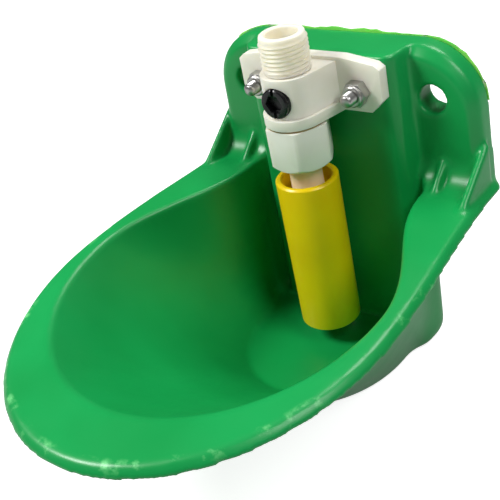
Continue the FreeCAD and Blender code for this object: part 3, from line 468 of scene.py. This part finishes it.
def inside_outline(vert):
    """Whether a point of the cut lies inside the plate's outline, as the edges of hollows and holes do."""
    beyond = (max(abs(vert.co.x) / MM - corner_x, 0), max(vert.co.z / MM - corner_z, 0))
    return math.hypot(*beyond) < CORNER_RADIUS - OUTLINE_SLACK


def outwards(vert):
    """The direction in the plate's plane that leads away from its middle."""
    return Vector((vert.co.x, 0, vert.co.z - FLASH_MIDDLE * MM)).normalized()


flash = part_bmesh("bowl_shell")
bmesh.ops.bisect_plane(flash, geom=flash.verts[:] + flash.edges[:] + flash.faces[:],
                       plane_co=(0, -FLASH_BACK * MM, 0), plane_no=(0, 1, 0),
                       clear_inner=True, clear_outer=True)
bmesh.ops.delete(flash, geom=[vert for vert in flash.verts if vert.co.z < FLASH_LOW * MM], context="VERTS")
bmesh.ops.delete(flash, geom=[vert for vert in flash.verts if inside_outline(vert)], context="VERTS")
bmesh.ops.subdivide_edges(flash, edges=[edge for edge in flash.edges if edge.calc_length() > LONG_EDGE * MM],
                          cuts=LONG_EDGE_CUTS)
rooted = flash.verts[:]
drawn = bmesh.ops.extrude_edge_only(flash, edges=flash.edges[:])
for vert in rooted:
    vert.co -= outwards(vert) * FLASH_ROOT * MM
for vert in [item for item in drawn["geom"] if isinstance(item, bmesh.types.BMVert)]:
    waver = noise.noise(vert.co / (FLASH_COARSE * MM)) + FINE_SHARE * noise.noise(vert.co / (FLASH_FINE * MM))
    fade = min(1, (vert.co.z / MM - FLASH_LOW) / FLASH_TAPER)
    vert.co += outwards(vert) * max(FLASH_LEAST, fade * (FLASH_WIDTH + FLASH_WAVER * waver)) * MM
fin = add_piece("plate_flash", flash, riders["bowl_shell"], flash_green)
thick = fin.modifiers.new("thick", "SOLIDIFY")
thick.thickness = FLASH_THICKNESS * MM
settle(fin)
print(fin.name, len(fin.data.polygons), "faces")

# %% [markdown]
# The valve's parts are small and crisp, so a remesh would blur them. Each keeps its shape, and a narrow
# rounded bevel on its sharp edges gives the thin line of light that a real edge shows. The widths are the
# edge radii that such parts have: more on the big moulded nut, less on the little plug.

# %% Soft edges on the small parts
BEVEL_SEGMENTS = 3
SHADE_ANGLE = 35


def soften(name, width, angle=35):
    """Rounds the edges of a frame part that are sharper than an angle, by a width in millimetres."""
    shape = part_bmesh(name)
    sharp = [edge for edge in shape.edges
             if edge.is_manifold and edge.calc_face_angle(0) > math.radians(angle)]
    bmesh.ops.bevel(shape, geom=sharp, offset=width * MM, offset_type="OFFSET", segments=BEVEL_SEGMENTS,
                    profile=0.5, affect="EDGES", clamp_overlap=True, material=-1)
    piece = add_piece(name + "_soft", shape, riders[name], finishes[slots[name]], smooth=SHADE_ANGLE)
    stand_in(piece, name)


for name, width in {"valve_body": 0.45, "cap_nut": 0.5, "stem": 0.3, "drinking_tube": 0.35,
                    "flow_regulator": 0.2}.items():
    soften(name, width)

# %% [markdown]
# Turned parts come from spin: a few points of a profile turned once round Z. A thread is the same spin
# with a climb of one pitch a turn. Rings stacked on each other would be simpler, but a thread slopes,
# and the eye sees that. Its ends run out to the root over half a pitch, as a cut thread's do.

# %% Helpers for turned parts
RIDGE_FLANK, RIDGE_SHOULDER = 0.38, 0.12


def lathe(shape, profile, steps=64, closed=True):
    """Spins a profile of (radius, height) points in millimetres once round Z."""
    verts = [shape.verts.new((radius * MM, 0, height * MM)) for radius, height in profile]
    pairs = list(zip(verts, verts[1:] + verts[:1])) if closed else list(zip(verts, verts[1:]))
    edges = [shape.edges.new(pair) for pair in pairs]
    bmesh.ops.spin(shape, geom=verts + edges, cent=(0, 0, 0), axis=(0, 0, 1), angle=math.tau, steps=steps,
                   use_merge=True)


def thread(shape, crest, root, pitch, low, high, steps):
    """Winds one pitch of a rounded ridge up round Z between two heights."""
    turns = math.ceil((high - low) / pitch) + 1
    shoulder = crest - RIDGE_SHOULDER * pitch
    ridge = ((root, 0), (shoulder, RIDGE_FLANK * pitch), (crest, pitch / 2),
             (shoulder, (1 - RIDGE_FLANK) * pitch), (root, pitch))
    verts = [shape.verts.new((radius * MM, 0, (low - pitch + height) * MM)) for radius, height in ridge]
    edges = [shape.edges.new(pair) for pair in zip(verts, verts[1:])]
    before = set(shape.verts) - set(verts)
    bmesh.ops.spin(shape, geom=verts + edges, cent=(0, 0, 0), axis=(0, 0, 1), angle=math.tau * turns,
                   steps=steps * turns, dvec=(0, 0, pitch * MM / steps), use_merge=False)
    wound = [vert for vert in shape.verts if vert not in before]
    for vert in wound:
        height = vert.co.z / MM
        radius = vert.co.xy.length / MM
        fade = min(1, max(0, 2 * min(high - height, height - low) / pitch))
        vert.co.xy = vert.co.xy * ((root + (radius - root) * fade) / radius)
        vert.co.z = min(max(height, low), high) * MM
    bmesh.ops.remove_doubles(shape, verts=wound, dist=MERGE / 2 * MM)


def set_on_axis(shape, x, y, z, outward=False):
    """Moves a turned shape to its axis. Outward turns it to point away from the wall."""
    if outward:
        quarter = Matrix.Rotation(math.pi / 2, 3, "X")
        bmesh.ops.rotate(shape, verts=shape.verts, cent=(0, 0, 0), matrix=quarter)
    bmesh.ops.translate(shape, verts=shape.verts, vec=(x, y, z))
    bmesh.ops.recalc_face_normals(shape, faces=shape.faces)


# %% [markdown]
# The inlet is half-inch pipe thread, 14 threads to the inch, moulded in ivory nylon. It starts below a
# plain chamfered band, and the pipe bore runs through it. The profile is left open where the thread winds
# round it, and the two are merged there. A thread laid over a whole pipe would hide a second wall inside
# the plastic, and light that enters the plastic would be lost between the two.

# %% Inlet nipple
PIPE_PITCH, PIPE_DEPTH, PIPE_STEPS = 1.814, 0.7, 72
BORE, SPIGOT = 7.0, 9.0
MOUTH_CHAMFER = 0.5
BAND_HEIGHT, BAND_FOOT = 1.7, 0.3
LIP_WIDTH, LIP_EDGE, LIP_DROP, BAND_INSET = 1.5, 0.9, 0.4, 0.65
BODY_OVER_SEAL = 4
nipple_low, nipple_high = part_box("inlet_nipple")
nipple_axis = (nipple_low + nipple_high) / 2
crest = (nipple_high.x - nipple_low.x) / 2 / MM
root = crest - PIPE_DEPTH
top = nipple_high.z / MM
thread_top = top - BAND_HEIGHT
spigot_low = nipple_low.z / MM
body_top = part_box("inlet_seal")[1].z / MM + BODY_OVER_SEAL
nipple = bmesh.new()
lathe(nipple, (
    (root, body_top), (SPIGOT, body_top), (SPIGOT, spigot_low), (BORE, spigot_low),
    (BORE, top - MOUTH_CHAMFER), (BORE + MOUTH_CHAMFER, top), (crest - LIP_WIDTH, top),
    (crest - LIP_EDGE, top - LIP_DROP), (crest - BAND_INSET, thread_top + BAND_FOOT),
    (root, thread_top)), steps=PIPE_STEPS, closed=False)
thread(nipple, crest, root, PIPE_PITCH, body_top, thread_top, steps=PIPE_STEPS)
bmesh.ops.remove_doubles(nipple, verts=nipple.verts, dist=MERGE * MM)
set_on_axis(nipple, nipple_axis.x, nipple_axis.y, 0)
stand_in(add_piece("nipple_threaded", nipple, riders["inlet_nipple"], nylon_ivory, smooth=40), "inlet_nipple")

# %% [markdown]
# Two M6 bolts hold the valve to the plate and come out of their lock nuts with a few turns of thread. The
# CAD bolt is plain at the size of the thread's crest, so its shank is shrunk to the root and a thread is
# wound round it. A lock nut has a hexagon with worn corners, a rolled collar, and a nylon ring inside the
# collar that grips the thread. That ring is a small turned piece of its own.

# %% Bolts and lock nuts
M6_PITCH, M6_CREST, M6_ROOT, M6_STEPS = 1.0, 3.0, 2.5, 36
M6_SINK = 0.02
SHANK_LIMIT = 3.1
BOLT_POINT = 0.5
NUT_EDGE, NUT_ANGLE = 0.4, 25
GRIP_INNER, GRIP_RISE, GRIP_FACE, GRIP_OUTER = 3.0, 3.3, 3.9, 4.0
GRIP_BACK, GRIP_STEP, GRIP_LIP, GRIP_FRONT = 1.4, 0.35, 0.1, 0.05
for side in ("left", "right"):
    bolt_name, nut_name = "mounting_bolt_" + side, "lock_nut_" + side
    nut_low, nut_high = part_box(nut_name)
    axis = (nut_low + nut_high) / 2
    end = -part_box(bolt_name)[0].y / MM
    front = -nut_low.y / MM
    bolt = part_bmesh(bolt_name)
    for vert in bolt.verts:
        off = Vector((vert.co.x - axis.x, 0, vert.co.z - axis.z))
        if off.length < SHANK_LIMIT * MM:
            vert.co += off * (M6_ROOT / M6_CREST - 1)
    winding = bmesh.new()
    thread(winding, M6_CREST, M6_ROOT - M6_SINK, M6_PITCH, -nut_high.y / MM, end - BOLT_POINT, steps=M6_STEPS)
    bmesh.ops.holes_fill(winding, edges=winding.edges, sides=0)
    set_on_axis(winding, axis.x, 0, axis.z, outward=True)
    wound = bpy.data.meshes.new("winding")
    winding.to_mesh(wound)
    winding.free()
    bolt.from_mesh(wound)
    bpy.data.meshes.remove(wound)
    stand_in(add_piece("bolt_threaded_" + side, bolt, riders[bolt_name], stainless, smooth=40), bolt_name)
    soften(nut_name, NUT_EDGE, angle=NUT_ANGLE)
    grip = bmesh.new()
    lathe(grip, ((GRIP_INNER, front - GRIP_BACK), (GRIP_INNER, front - GRIP_STEP),
                 (GRIP_RISE, front - GRIP_LIP), (GRIP_FACE, front - GRIP_FRONT),
                 (GRIP_OUTER, front - GRIP_BACK)))
    set_on_axis(grip, axis.x, 0, axis.z, outward=True)
    ring = add_piece("nylon_grip_" + side, grip, riders[nut_name], ring_grey, smooth=40)
    print(ring.name, "sits in", nut_name)

# %% [markdown]
# Dressing must not change the object's size. The last step only prints that the dressing is done.

# %% Sizes
print("dressing done")
